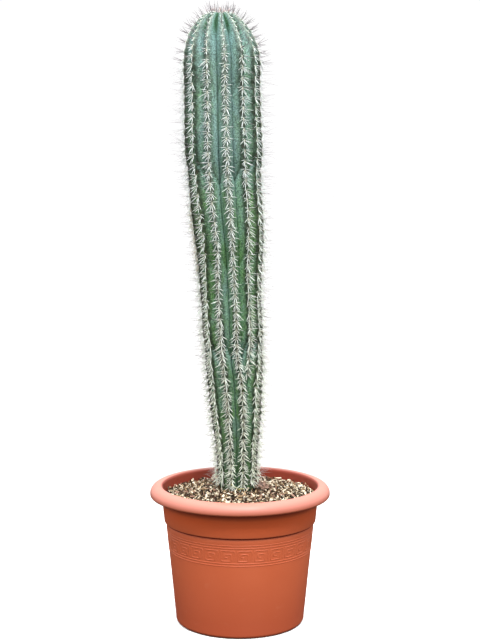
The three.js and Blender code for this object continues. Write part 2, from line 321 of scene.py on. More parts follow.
class Nodes:
    """The nodes of a material or a world. A value is a number, a colour or another node's output."""

    def __init__(self, owner):
        owner.use_nodes = True
        self.owner = owner
        self.tree = owner.node_tree

    def join(self, value, socket):
        """Sets a socket to a value, or links an output to it."""
        if isinstance(value, bpy.types.NodeSocket):
            self.tree.links.new(value, socket)
        else:
            socket.default_value = value

    def add(self, kind, inputs, **settings):
        """Adds a node, and gives its outputs."""
        node = self.tree.nodes.new(kind)
        for key, value in settings.items():
            setattr(node, key, value)
        for key, value in inputs.items():
            self.join(value, node.inputs[key])
        return node.outputs

    def place(self, space="Object"):
        return self.add("ShaderNodeTexCoord", {})[space]

    def axis(self, vector, name):
        return self.add("ShaderNodeSeparateXYZ", {"Vector": vector})[name]

    def noise(self, scale, detail=3.0, stretch=(1, 1, 1)):
        """Noise in the object's own space, from 0 to 1. scale is cells per metre."""
        vector = self.add("ShaderNodeMapping", {"Vector": self.place(), "Scale": stretch})[0]
        return self.add("ShaderNodeTexNoise", {"Vector": vector, "Scale": scale, "Detail": detail})["Fac"]

    def attribute(self, name):
        return self.add("ShaderNodeAttribute", {}, attribute_name=name)["Fac"]

    def math(self, operation, a, b=0.0, clamp=False):
        return self.add("ShaderNodeMath", {0: a, 1: b}, operation=operation, use_clamp=clamp)[0]

    def times(self, a, b):
        return self.math("MULTIPLY", a, b)

    def ranged(self, value, start, end, most=1.0):
        """0 at a start and most at an end, which may lie below it."""
        inputs = {"Value": value, "From Min": start, "From Max": end, "To Max": most}
        return self.add("ShaderNodeMapRange", inputs)[0]

    def ramp(self, value, stops):
        """A colour ramp of (position, colour) stops."""
        node = self.tree.nodes.new("ShaderNodeValToRGB")
        self.join(value, node.inputs["Fac"])
        elements = node.color_ramp.elements
        while len(elements) < len(stops):
            elements.new(0.5)
        for element, (position, colour) in zip(elements, stops):
            element.position = position
            element.color = colour
        return node.outputs["Color"]

    def tones(self, value, start, end, first, last):
        """From one screen colour to another."""
        return self.ramp(value, [(start, srgb(*first)), (end, srgb(*last))])

    def greys(self, value, start, end, first=0, last=1):
        return self.ramp(value, [(start, grey(first)), (end, grey(last))])

    def mix(self, share, a, b, blend="MIX"):
        """Two colours mixed by a share."""
        inputs = {"Factor": share, 6: a, 7: b}
        return self.add("ShaderNodeMix", inputs, data_type="RGBA", blend_type=blend)[2]

    def coats(self, colour, *coats):
        """A colour under coats of (share, colour)."""
        for share, coat in coats:
            colour = self.mix(share, colour, coat)
        return colour

    def multiplied(self, share, colour, tint):
        return self.mix(share, colour, tint, "MULTIPLY")


class Look(Nodes):
    """The nodes of a new material."""

    def __init__(self, name):
        super().__init__(bpy.data.materials.new(name))

    def made(self, colour, roughness, bump=None, specular=0.5, coat=0.0):
        """Sets the shader's inputs and gives the material. bump is height, strength and distance."""
        shader = self.tree.nodes["Principled BSDF"].inputs
        self.join(colour, shader["Base Color"])
        self.join(roughness, shader["Roughness"])
        shader["Specular IOR Level"].default_value = specular
        shader["Coat Weight"].default_value = coat
        shader["Coat Roughness"].default_value = COAT_ROUGHNESS
        if bump:
            relief = self.add("ShaderNodeBump", dict(zip(("Height", "Strength", "Distance"), bump)))
            self.join(relief["Normal"], shader["Normal"])
        return self.owner


def pot_plastic():
    """Satin plastic, with light and shade painted in: a painted highlight over the lip and painted shade
    at its back, a band under it painted brighter, painted shadow just under the lip and in the step's
    groove, and painted shade on the faces that turn inwards.
    """
    look = Look("pot_plastic")
    place = look.place()
    height = look.times(look.axis(place, "Z"), 1 / MM)
    facing = look.add("ShaderNodeNewGeometry", {})["Normal"]
    on_lip = look.math("GREATER_THAN", height, LIP_EDGE_Z - 1)
    off_lip = look.math("SUBTRACT", 1.0, on_lip)
    # Painted highlight: the lip is painted paler the more it faces up, in place of the overhead light's
    # sheen.
    lip_painted_highlight = look.times(look.ranged(look.axis(facing, "Z"), -0.75, 0.35, 0.68), on_lip)
    # Painted shade: the lip's painted highlight is toned down towards the back.
    lip_back_painted_shade = look.times(lip_painted_highlight, look.ranged(look.axis(place, "Y"), 0.04, 0.1, 1.25))
    # Painted light: the band above the step is painted brighter and more orange, more so higher up.
    band_painted_light = look.ranged(height, STEP_Z - 1, STEP_Z + 1, 0.7)
    band_painted_light_rise = look.ranged(height, STEP_Z, STEP_Z + 20)
    # Painted shadow: the band is painted dark red just under the lip.
    under_lip_painted_shadow = look.ranged(height, LIP_EDGE_Z - 12, LIP_EDGE_Z - 3, 0.85)
    # Painted shadow: the groove under the step is painted dark red, and made rough.
    from_step = look.math("ABSOLUTE", look.math("SUBTRACT", height, STEP_Z - 0.8))
    step_painted_shadow = look.ranged(from_step, 1.8, 0.7, 0.92)
    level = look.add("ShaderNodeVectorMath", {0: place, 1: (1, 1, 0)}, operation="MULTIPLY")["Vector"]
    outward = look.add("ShaderNodeVectorMath", {0: level, 1: facing}, operation="DOT_PRODUCT")["Value"]
    colour = look.coats(
        look.tones(look.noise(9, 4), 0.3, 0.7, (189, 91, 56), (196, 98, 62)),
        (look.ranged(height, 100, 20, 0.8), srgb(170, 77, 48)),
        (look.greys(look.noise(55, 6), 0.62, 0.9, 0, 0.16), srgb(207, 149, 123)),
        (lip_painted_highlight, srgb(174, 119, 110)),
        (lip_back_painted_shade, srgb(126, 76, 66)),
        (look.times(band_painted_light, off_lip), look.mix(band_painted_light_rise, srgb(180, 86, 50), srgb(218, 92, 40))),
        (look.times(under_lip_painted_shadow, off_lip), srgb(100, 18, 8)),
        (step_painted_shadow, srgb(116, 22, 2)),
        # Painted shade on the faces that turn inwards, such as the inner wall and the lip's inner side.
        (look.ranged(outward, -0.03, -0.075, 0.88), srgb(132, 44, 26)),
    )
    rough = look.mix(step_painted_shadow, look.greys(look.noise(30, 4), 0.3, 0.7, 0.4, 0.5), grey(0.95))
    return look.made(colour, rough, (look.noise(900, 3), 0.12, 0.0004), 0.4)


def potting_mix(name, light, dark):
    """Damp crumbs, with a few pale bits."""
    look = Look(name)
    crumbs = look.noise(420, 6)
    colour = look.ramp(crumbs, [(0.35, srgb(*dark)), (0.6, srgb(*light)), (0.8, srgb(80, 60, 42))])
    return look.made(colour, 0.95, (crumbs, 0.9, 0.003), 0.15)


def grit(name, dark, light):
    """Small stones: each face a little different, with fine grain."""
    look = Look(name)
    colour = look.tones(look.noise(210, 5), 0.3, 0.68, dark, light)
    return look.made(colour, 0.8, (look.noise(1500, 3), 0.35, 0.0006), 0.25)


def stem_skin():
    """Waxy skin: a blue-green bloom, palest in the valleys, over green that shows at folds and low down,
    with light and shade painted in.

    Its attributes are the masks of Stem.surface().
    """
    look = Look("stem_skin")
    mask = look.attribute
    patches = look.noise(38, 5, (1, 1, 0.4))
    speckle = look.noise(420, 4)
    deep = mask("deep")
    crown = mask("crown")
    in_valley = look.greys(deep, 0.25, 0.85)
    outer_bloom = look.tones(patches, 0.3, 0.7, (68, 100, 84), (112, 142, 131))
    inner_bloom = look.tones(patches, 0.3, 0.7, (112, 145, 136), (145, 173, 170))
    dark_green = look.tones(speckle, 0.3, 0.75, (46, 76, 38), (94, 126, 74))
    pale_green = look.tones(speckle, 0.3, 0.75, (74, 116, 70), (114, 160, 102))
    blotches = look.math("ADD", patches, look.times(look.noise(120, 4, (1, 1, 0.6)), 0.8))
    uneven = look.times(look.math("SUBTRACT", blotches, 0.9), 1.8)
    green = look.math("ADD", mask("green"), uneven, clamp=True)
    powder = look.times(crown, look.greys(deep, 0.15, 0.7, 0.6, 0.5))
    young = look.times(mask("apex"), look.greys(deep, 0.3, 0.75, 0, 0.95))
    # Painted shadow of the spines, in dark specks beside the crests.
    shaded = look.times(mask("beside"), look.greys(look.noise(190, 4), 0.36, 0.56, 0.4))
    # Dark brown patches on the crest between the areoles.
    crest_darkening = look.times(mask("crest"), look.greys(look.noise(130, 3), 0.38, 0.58, 0.15))
    # Painted shade in the bottoms of the valleys, weaker on the crown.
    groove = look.times(look.greys(deep, 0.93, 1.0, 0, 0.9), look.greys(crown, 0.0, 1.0, 1, 0.4))
    colour = look.coats(
        look.mix(in_valley, outer_bloom, inner_bloom),
        (green, look.mix(in_valley, dark_green, pale_green)),
        (powder, srgb(113, 151, 154)),
        (young, srgb(34, 78, 44)),
        # Painted shade above the folds, and painted light on their shoulders and on lit flanks.
        (mask("fold"), srgb(27, 55, 31)),
        (mask("shoulder"), srgb(150, 186, 180)),
        (shaded, srgb(20, 40, 22)),
        # Painted shade at the stem's left and right.
        (mask("side_painted_shade"), srgb(42, 53, 38)),
        (crest_darkening, look.tones(speckle, 0.35, 0.75, (20, 19, 12), (76, 66, 46))),
        (mask("band"), srgb(130, 148, 134)),
        (mask("down"), look.tones(speckle, 0.35, 0.7, (150, 164, 148), (214, 224, 212))),
        (groove, srgb(23, 46, 46)),
    )
    colour = look.multiplied(0.95, colour, look.greys(look.noise(540, 4), 0.3, 0.7, 0.12, 1.66))
    height = look.axis(look.place(), "Z")
    # Painted shade: the skin is painted darker towards the foot.
    colour = look.multiplied(look.ranged(height, 0.44, 0.24), colour, (0.9, 0.86, 0.93, 1))
    # Painted shade in the valleys near the soil.
    foot_valley_shade = look.times(look.ranged(height, 0.28, 0.2), in_valley)
    colour = look.multiplied(foot_valley_shade, colour, (0.4, 0.44, 0.42, 1))
    rough = look.greys(patches, 0.3, 0.7, 0.5, 0.68)
    return look.made(colour, rough, (speckle, 0.3, 0.0008), 0.4)


def spine_horn(name, base, tip, roughness=0.45):
    """Horn, from base to tip along the attribute "along", a little uneven and with a yellowish dust near
    the soil.
    """
    look = Look(name)
    colour = look.tones(look.attribute("along"), 0.0, 0.18, base, tip)
    tint = look.ramp(look.noise(170, 2), [(0.34, (0.84, 0.87, 0.8, 1)), (0.54, grey(1))])
    colour = look.multiplied(1.0, colour, tint)
    near_soil = look.ranged(look.axis(look.place(), "Z"), 0.62, 0.25, 0.85)
    colour = look.multiplied(near_soil, colour, (1.0, 0.99, 0.86, 1))
    return look.made(colour, roughness, coat=0.5)


def felt_wool():
    """The short wool of the areoles, cream where it is young and greyer low down."""
    look = Look("felt_wool")
    wool = look.noise(1100, 4)
    young = look.tones(wool, 0.3, 0.7, (168, 168, 148), (236, 236, 222))
    old = look.tones(wool, 0.3, 0.7, (80, 74, 60), (160, 156, 136))
    colour = look.mix(look.attribute("young"), old, young)
    return look.made(colour, 0.95, (wool, 0.8, 0.001))


# The pot

def wall_radius(z):
    return BAND_RADIUS + (z - STEP_Z) * TAPER - (STEP_WIDTH if z < STEP_Z else 0)


KEY_RADIUS = wall_radius(sum(KEY_Z) / 2)
KEY_PITCH = TAU * KEY_RADIUS / KEYS


def wall_line(low, high, steps, inset=0.0):
    return [(wall_radius(z) - inset, z) for z in np.linspace(low, high, steps + 1)]


def pot_profile():
    """The pot's section: from under its floor up the outside, over the lip and down the inside."""
    lip_r = RIM_RADIUS - LIP_WIDTH
    lip_z = RIM_TOP - LIP_HEIGHT
    lip_foot = RIM_RADIUS - 1.0
    foot_inner = FOOT_RADIUS - FOOT_WIDTH
    fillet_r = wall_radius(FOOT_FILLET) - FOOT_FILLET
    floor_top = FOOT_HEIGHT + WALL
    corner_r = wall_radius(floor_top) - WALL - INNER_FILLET
    return [
        (1.5, FOOT_HEIGHT),
        (foot_inner - 3, FOOT_HEIGHT),
        *arc(foot_inner - 3, FOOT_HEIGHT - 1.5, 1.5, 1.5, 90, 0, 3),
        (foot_inner - 0.6, 0.5),
        (foot_inner + 0.4, 0),
        *arc(fillet_r, FOOT_FILLET, FOOT_FILLET, FOOT_FILLET, -78, 0, 7),
        *wall_line(FOOT_FILLET + 2, STEP_Z - 2.4, 24),
        (wall_radius(STEP_Z - 1) - 0.45, STEP_Z - 1.5),
        (wall_radius(STEP_Z - 1) - 0.5, STEP_Z - 0.5),
        (BAND_RADIUS - 0.9, STEP_Z - 0.1),
        (BAND_RADIUS - 0.25, STEP_Z + 0.2),
        (BAND_RADIUS + 0.05, STEP_Z + 0.8),
        *wall_line(STEP_Z + 2, LIP_EDGE_Z - 3, 6),
        *arc(wall_radius(LIP_EDGE_Z) + 4, LIP_EDGE_Z - 0.5, 4, 5, 180, 92, 6),
        *arc(lip_r, lip_z, LIP_WIDTH - WALL, LIP_HEIGHT - WALL, 60, -8, 6),
        (lip_foot - WALL + 0.2, LIP_EDGE_Z + 0.4),
        (lip_foot - WALL + 0.9, LIP_EDGE_Z - 0.1),
        (lip_foot - 0.9, LIP_EDGE_Z - 0.1),
        (lip_foot - 0.2, LIP_EDGE_Z + 0.4),
        *arc(lip_r, lip_z, LIP_WIDTH, LIP_HEIGHT, -12, 98, 24),
        *arc(wall_radius(lip_z) - WALL + 3.6, lip_z + 7.5, 3.2, 4.2, 115, 180, 5),
        *wall_line(lip_z + 4, STEP_Z, 5, WALL),
        *wall_line(STEP_Z - 1, floor_top + INNER_FILLET, 10, WALL),
        *arc(corner_r, floor_top + INNER_FILLET, INNER_FILLET, INNER_FILLET, 0, -90, 3),
        (1.5, floor_top),
    ]


def pot_shell(plastic):
    """The pot's wall, lip and floor in one, with its drain holes cut."""
    points, faces = turned(pot_profile(), POT_SIDES)
    shell = mesh_piece("pot_shell", points, faces, "pot", plastic)
    for i in range(DRAIN_HOLES):
        place = DRAIN_CIRCLE * outwards(i / DRAIN_HOLES * TAU) + FOOT_HEIGHT * UP
        bpy.ops.mesh.primitive_cylinder_add(
            vertices=DRAIN_SIDES, radius=DRAIN_RADIUS * MM, depth=DRAIN_DEPTH * MM, location=place * MM
        )
        cutter = bpy.context.object
        cut = shell.modifiers.new("drain", "BOOLEAN")
        cut.operation = "DIFFERENCE"
        cut.solver = "EXACT"
        cut.object = cutter
        apply_modifiers(shell)
        bpy.data.objects.remove(cutter)
    shell.data.set_sharp_from_angle(angle=math.radians(50))
    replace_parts(shell, "pot")


def apply_modifiers(piece):
    """Gives the piece the mesh that its modifiers make."""
    graph = bpy.context.evaluated_depsgraph_get()
    made = bpy.data.meshes.new_from_object(piece.evaluated_get(graph))
    piece.modifiers.clear()
    old = piece.data
    piece.data = made
    bpy.data.meshes.remove(old)


def ridge_section(width=RIDGE_WIDTH):
    """A raised line's section: (across, out) pairs, sunk a little into the wall at both ends."""
    half = width / 2
    side = [(half, -RIDGE_SUNK), (half * 0.82, 0.45 * RIDGE_HEIGHT), (half * 0.45, RIDGE_HEIGHT)]
    return [(-across, out) for across, out in side] + side[::-1]


def left_of(steps):
    return np.stack([-steps[:, 1], steps[:, 0]], axis=1)


def raised_path(path):
    """A ridge with mitred corners on the pot's wall, along a path of (distance round it, height)."""
    step = unit(np.diff(path, axis=0))
    ahead = np.vstack([step, step[-1:]])
    side = unit(left_of(ahead + np.vstack([step[:1], step])))
    reach = 1 / np.maximum(MITRE_LIMIT, np.sum(side * left_of(ahead), axis=1))
    section = ridge_section()
    points = []
    for place, across, stretch in zip(path, side, reach):
        for offset, out in section:
            s, z = place + across * offset * stretch
            r = wall_radius(z) + out
            angle = s / KEY_RADIUS
            points.append((r * math.sin(angle), -r * math.cos(angle), z))
    n, m = len(path), len(section)
    faces = grid_faces(n, m)[:, [0, 3, 2, 1]].tolist()
    return points, [*faces, range(m), range(n * m - 1, (n - 1) * m - 1, -1)]


def dense(path, step):
    """A path with points added, so that it follows the round wall."""
    made = [path[0]]
    for a, b in zip(path, path[1:]):
        count = max(1, round(math.dist(a, b) / step))
        made += [*np.linspace(a, b, count + 1)[1:]]
    return made


def meander(plastic):
    """The band of raised keys between two pairs of raised lines."""
    band = Pile()
    for key in range(KEYS):
        start = (key - KEY_SHIFT) * KEY_PITCH
        path = [(start + u * KEY_PITCH, lerp(*KEY_Z, v)) for u, v in KEY_PATH]
        band.add(*raised_path(dense(path, RIDGE_STEP)))
    for z in LINE_Z:
        ring = [(wall_radius(z + across) + out, z + across) for across, out in ridge_section(LINE_WIDTH)]
        band.add(*turned(ring, POT_SIDES))
    piece = band.piece("pot_meander", "pot", plastic)
    piece.data.set_sharp_from_angle(angle=math.radians(60))


# The stem's form

def crest_radius(h):
    """The crest's radius at heights above the soil: a smooth curve through the girths."""
    hs, rs = np.array(GIRTH, float).T
    low = np.maximum(0, np.arange(len(hs)) - 1)
    high = np.minimum(len(hs) - 1, np.arange(len(hs)) + 1)
    slopes = (rs[high] - rs[low]) / (hs[high] - hs[low])
    i = np.clip(np.searchsorted(hs, h) - 1, 0, len(hs) - 2)
    span = hs[i + 1] - hs[i]
    t = np.clip((h - hs[i]) / span, 0, 1)
    return lerp(rs[i], rs[i + 1], smooth(t)) + span * t * (1 - t) * lerp(slopes[i], -slopes[i + 1], t)


def axis_x(h):
    """The stem's axis leans to one side in a slow S, with a slight swerve half way up."""
    lean = LEAN * smooth(h / DOME_FROM) + APEX_LEAN * rise(h, DOME_FROM, DOME_HEIGHT)
    return STEM_X + lean + SWERVE * bell(h - SWERVE_H, SWERVE_REACH)


def waist(h):
    """How much narrower the stem is at the pauses in its growth."""
    return sum(depth * bell(h - at, WAIST_REACH) for at, depth, _ in PAUSES)


def crest_line():
    """The crest from under the gravel to the apex: radius, height, slope of the normal, length so far."""
    h = np.linspace(STEM_START_H, DOME_FROM, STEM_ROWS)
    column = np.stack([crest_radius(h) - waist(h), h, np.zeros_like(h)], axis=1)
    t = np.radians(np.linspace(0, 89, DOME_ROWS + 1)[1:])
    r = DOME_RADIUS * np.cos(t)
    sink = APEX_SINK * rise(np.degrees(t), APEX_SINK_FROM_DEG, 90 - APEX_SINK_FROM_DEG)
    top = DOME_FROM + DOME_HEIGHT * np.sin(t) - sink
    tilt = np.arctan2(np.sin(t) / DOME_HEIGHT, np.cos(t) / DOME_RADIUS)
    line = np.vstack([column, np.stack([r, top, tilt], axis=1)])
    step = np.hypot(np.diff(line[:, 0]), np.diff(line[:, 1]))
    return np.column_stack([line, np.concatenate([[0], np.cumsum(step)])])


def rib_growth(rib, h):
    """How far a rib has grown at a height: the late ribs begin part of the way up."""
    if rib not in LATE_RIBS:
        return np.ones_like(h)
    return rise(h, LATE_RIB_FROM, LATE_RIB_FULL - LATE_RIB_FROM)


def rib_edges(h):
    """The angles of the valleys at each height, one more than there are ribs."""
    grown = rib_growth(LATE_RIBS[0], h)
    low_width = dict.fromkeys(LATE_RIBS, LATE_RIB_WIDTH) | NARROW_RIBS
    widths = np.stack([lerp(low_width.get(rib, 1), 1, grown) for rib in range(RIBS)], axis=-1)
    shares = widths / widths.sum(axis=-1, keepdims=True) * TAU
    start = math.radians(FIRST_RIB_DEG) - shares[..., :1] / 2
    edges = np.concatenate([start, start + np.cumsum(shares, axis=-1)], axis=-1)
    for valley, height, reach, degrees in STRAYS:
        for edge in {valley, valley or RIBS}:
            edges[..., edge] += math.radians(degrees) * bell(h - height, reach)
    return edges


def flank(u):
    """How far the surface is sunk across a rib, from 0 at its crest to 1 in its valleys."""
    return 0.82 * np.abs(u) ** FLANK_POWER + 0.18 * np.abs(u) ** 9


class Stem:
    """The stem's surface, and where its areoles sit."""

    def __init__(self):
        self.line = crest_line()
        self.random = np.random.default_rng(7)
        self.areoles = [self.areole_lengths(rib) for rib in range(RIBS)]
        self.fold_shift = self.random.uniform(-FOLD_SHIFT, FOLD_SHIFT, (RIBS, len(PAUSES)))

    def along(self, length):
        """Radius, height and slope of the normal on the crest, at a length along it."""
        return [np.interp(length, self.line[:, 3], self.line[:, k]) for k in range(3)]

    def areole_lengths(self, rib):
        """Where a rib's areoles are, as lengths along its crest."""
        end = self.line[-1, 3]
        length = np.interp(FIRST_AREOLE_H, self.line[:STEM_ROWS, 1], self.line[:STEM_ROWS, 3])
        length += self.random.uniform(0, 9)
        places = []
        while length < end - 2.5:
            _, h, _ = self.along(length)
            if rib_growth(rib, h) > LEAST_GROWTH:
                places.append(length)
            # Near the apex the crest hardly climbs, so the spacing goes by the length there
            level = h if h < CROWDED_FROM else CROWDED_FROM + (length - end + 20)
            length += np.interp(level, *np.array(AREOLE_SPACING).T) * self.random.uniform(0.9, 1.1)
        return np.array(places)

    def hump(self, rib, length):
        """1 at an areole, 0 half way to the next."""
        places = self.areoles[rib]
        away = np.abs(length[:, None] - places)
        gap = np.gradient(places)[away.argmin(axis=1)]
        return 0.5 + 0.5 * np.cos(np.clip(away.min(axis=1) / (gap / 2), 0, 1) * math.pi)

    def surface(self, rib, u, length):
        """Points and their masks on a rib, for places across it (-1 to 1) and lengths along the crest."""
        r, h, tilt = (values[:, None] for values in self.along(length))
        edges = rib_edges(h[:, 0])
        angle = lerp(edges[:, rib, None], edges[:, rib + 1, None], (u + 1) / 2)
        growth = rib_growth(rib, h)
        hump = self.hump(rib, length)[:, None]
        # colour is the folds' painted shade above them and painted light below them.
        fold, colour = self.folds(rib, np.abs(u), h)
        out = outwards(angle)
        normal = out * np.cos(tilt)[..., None] + UP * np.sin(tilt)[..., None]
        sunk = VALLEY_SHARE * r * (1 - growth * (1 - flank(u)))
        notch = (1 - hump) * bell(u, 0.3) * growth * np.minimum(1.1, r / 30)
        centre = np.stack([axis_x(h), np.full_like(h, STEM_Y), SOIL_Z + h], axis=-1)
        points = centre + out * r[..., None] - normal * (sunk + fold + notch)[..., None]
        masks = self.masks(u, h, angle, growth, hump, colour)
        return points, {name: np.broadcast_to(mask, angle.shape) for name, mask in masks.items()}

    def masks(self, u, h, angle, growth, hump, fold_painted_shading):
        """What the skin's colours go by, painted light and shade among them. side is 1 at the stem's left
        and right, 0 in front and behind.
        """
        across = np.abs(u)
        side = np.abs(np.cos(angle))
        crown = rise(h, 600, 60)
        # Painted light: the crests of the ribs in front and behind are painted paler, from about 230 mm
        # up.
        pale = (1 - rise(side, 0.1, 0.5)) * rise(h, 230, 60)
        # Painted light: one flank of each rib in front and behind is painted paler, as lit, high up below
        # the crown.
        lit = 0.9 * (1 - rise(side, 0.12, 0.14)) * rise(h, 400, 80) * (1 - crown)
        # Painted shade: the skin is painted darker and greener towards the stem's left and right.
        side_painted_shade = 0.38 * rise(side, 0.74, 0.24) + 0.15 * crown * rise(side, 0.3, 0.3)
        side_shade_green = 0.42 * rise(side, 0.3, 0.6) * (1 - 0.6 * rise(h, 540, 70))
        # Rubbed patches, together with the painted side shade and the folds' painted light and shade.
        rubbed_and_shaded = side_shade_green + self.rubbed(h, angle) - 0.35 * np.minimum(fold_painted_shading, 0)
        return {
            "crest": bell(u, 0.25, 4) * growth * (1 - 0.7 * hump) * (1 - crown),
            "down": bell(u, 0.06, 4) * (0.5 + 0.35 * hump) * rise(h, 590, 40),
            # A paler band along the crests: on the crown, and as painted light on the ribs in front and
            # behind.
            "band": bell(u, 0.34, 4) * np.maximum(0.6 * rise(h, 610, 40), 0.5 * pale),
            "crown": crown,
            "apex": rise(h, 636, 28),
            "deep": lerp(1, across, growth),
            "green": np.interp(h, *np.array(GREENING).T) + rubbed_and_shaded,
            # Painted shade above the folds, where the skin is also greener.
            "fold": np.clip(fold_painted_shading, 0, 1),
            # Painted light on the folds' shoulders and on the lit flanks.
            "shoulder": np.maximum(0.75 * np.maximum(-fold_painted_shading, 0), lit * bell(u - 0.6, 0.22)),
            # Painted shadow of the spines beside the crests, weaker on the ribs in front and behind.
            "beside": bell(across - 0.28, 0.2) * growth * (1 - 0.6 * pale),
            "side_painted_shade": side_painted_shade * (1 - across**2),
        }

    def folds(self, rib, across, h):
        """The slanting folds that run down from the crests to the valleys at each pause in growth.

        Below a fold the skin swells a little to a shoulder, painted paler as lit; above it the skin is
        drawn in, greener, and painted darker as shade.
        """
        depth, colour = 0, 0
        for k, (at, _, strength) in enumerate(PAUSES):
            above = h - (at + self.fold_shift[rib, k] + FOLD_RISE * (0.5 - across))
            share = strength * rise(across, 0.12, 0.2)
            depth += share * np.where(above > 0, 3.2 * np.exp(-above / 12), -1.3 * np.exp(above / 9))
            # dark is painted shade above the fold; below it the colour goes negative, painted light on the
            # shoulder.
            dark = 0.8 * np.exp(-above / 7) + 0.35 * np.exp(-above / 26)
            colour += share * np.where(above > 0, dark, -np.exp(above / 10))
        return depth, colour

    def rubbed(self, h, angle):
        """How much of the bloom is gone in the green patches."""
        gone = 0
        for azimuth, height, half_angle, half_height, strength in GREEN_PATCHES:
            turn = (np.degrees(angle) - azimuth + 180) % 360 - 180
            gone += strength * bell(turn, half_angle) * bell(h - height, half_height)
        return gone


def stem_body(stem, skin):
    """The ribbed stem as one closed mesh."""
    steps = np.arange(RIB_COLUMNS) / RIB_COLUMNS * 2 - 1
    u = np.sign(steps) * (1 - (1 - np.abs(steps)) ** 1.25)
    blocks = [stem.surface(rib, u, stem.line[:, 3]) for rib in range(RIBS)]
    grid = np.concatenate([points for points, _ in blocks], axis=1)
    rows, columns = grid.shape[:2]
    last = (rows - 1) * columns
    base = rows * columns
    apex = base + 1
    ends = [grid[0].mean(axis=0), grid[-1].mean(axis=0) - [0, 0, 0.4]]
    points = np.vstack([grid.reshape(-1, 3), *ends])
    faces = grid_faces(rows, columns).tolist()
    faces += [(b, a, tip) for a, b, tip in fan(0, columns, base)]
    faces += fan(last, columns, apex)
    masks = {
        key: np.append(np.concatenate([found[key] for _, found in blocks], axis=1), [0, 0])
        for key in blocks[0][1]
    }
    body = mesh_piece("cactus_body", points, faces, "skin", skin, attributes=masks)
    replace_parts(body, "cactus")


# Areoles and spines

class Areole(namedtuple("Areole", "centre normal upward sideways h")):
    """An areole's centre, its directions out of, up and across the skin, and its height."""

    def leaning(self, swing, lift):
        """A direction that swings away from straight down along the skin and lifts off it, in radians."""
        flat = -self.upward * math.cos(swing) + self.sideways * math.sin(swing)
        return flat * math.cos(lift) + self.normal * math.sin(lift)


def areoles_on(stem, rib):
    """The areoles of a rib, from the foot up."""
    length = stem.areoles[rib]
    _, h, tilt = stem.along(length)
    points, _ = stem.surface(rib, np.array([0.0]), length)
    edges = rib_edges(h)
    angle = (edges[:, rib] + edges[:, rib + 1]) / 2
    out = outwards(angle)
    normal = out * np.cos(tilt)[:, None] + UP * np.sin(tilt)[:, None]
    upward = UP * np.cos(tilt)[:, None] - out * np.sin(tilt)[:, None]
    return [Areole(*parts) for parts in zip(points[:, 0], normal, upward, outwards(angle + TAU / 4), h)]


def tapered(roots, directions, lengths, widths, bend, sides=3):
    """Needles as one mesh: each starts at a root, bends a little and comes to a point."""
    helper = np.where(np.abs(directions[:, 2:3]) > 0.9, [[1.0, 0, 0]], [[0, 0, 1.0]])
    a = unit(np.cross(directions, helper))
    b = np.cross(directions, a)
    turn = np.arange(sides)[:, None] / sides * TAU
    spoke = a[:, None] * np.cos(turn) + b[:, None] * np.sin(turn)

    def at(t):
        return (roots + (directions + bend * t) * (lengths * t)[:, None])[:, None]

    rings = [at(t) + spoke * (widths / 2 * girth)[:, None, None] for t, girth in NEEDLE_RINGS]
    points = np.concatenate([*rings, at(1.0)], axis=1)
    tip = sides * len(NEEDLE_RINGS)
    faces = [range(sides - 1, -1, -1), *grid_faces(len(NEEDLE_RINGS), sides).tolist()]
    faces += fan(tip - sides, sides, tip)
    starts = np.arange(len(roots)) * (tip + 1)
    every = [[start + index for index in face] for start in starts for face in faces]
    along = np.tile([t for t, _ in NEEDLE_RINGS for _ in range(sides)] + [1.0], len(roots))
    return points.reshape(-1, 3), every, along


class Needles:
    """Spines of one kind, gathered to be made as one piece."""

    def __init__(self, seed):
        self.random = np.random.default_rng(seed)
        self.rows = []

    def add(self, root, direction, length, width=0.0):
        self.rows.append((root, direction, length, width))

    def add_swung(self, areole, swing, lift, climb, length, width):
        """A spine that points swing degrees away from straight down, and lift degrees off the skin."""
        swing = math.radians(swing)
        root = areole.centre + areole.sideways * (1.1 * math.sin(swing)) + areole.upward * climb
        self.add(root + areole.normal * 0.1, areole.leaning(swing, math.radians(lift)), length, width)

    def piece(self, name, horn, waver, droop=0.0, width=None):
        """The piece. A span of widths takes the place of the spines' own."""
        roots, directions, lengths, widths = (np.array(values) for values in zip(*self.rows))
        bend = self.random.normal(0, waver, roots.shape) - [0, 0, droop]
        if width:
            widths = self.random.uniform(*width, len(roots))
        points, faces, along = tapered(roots, unit(directions), lengths, widths, bend)
        mesh_piece(name, points, faces, None, horn, attributes={"along": along})


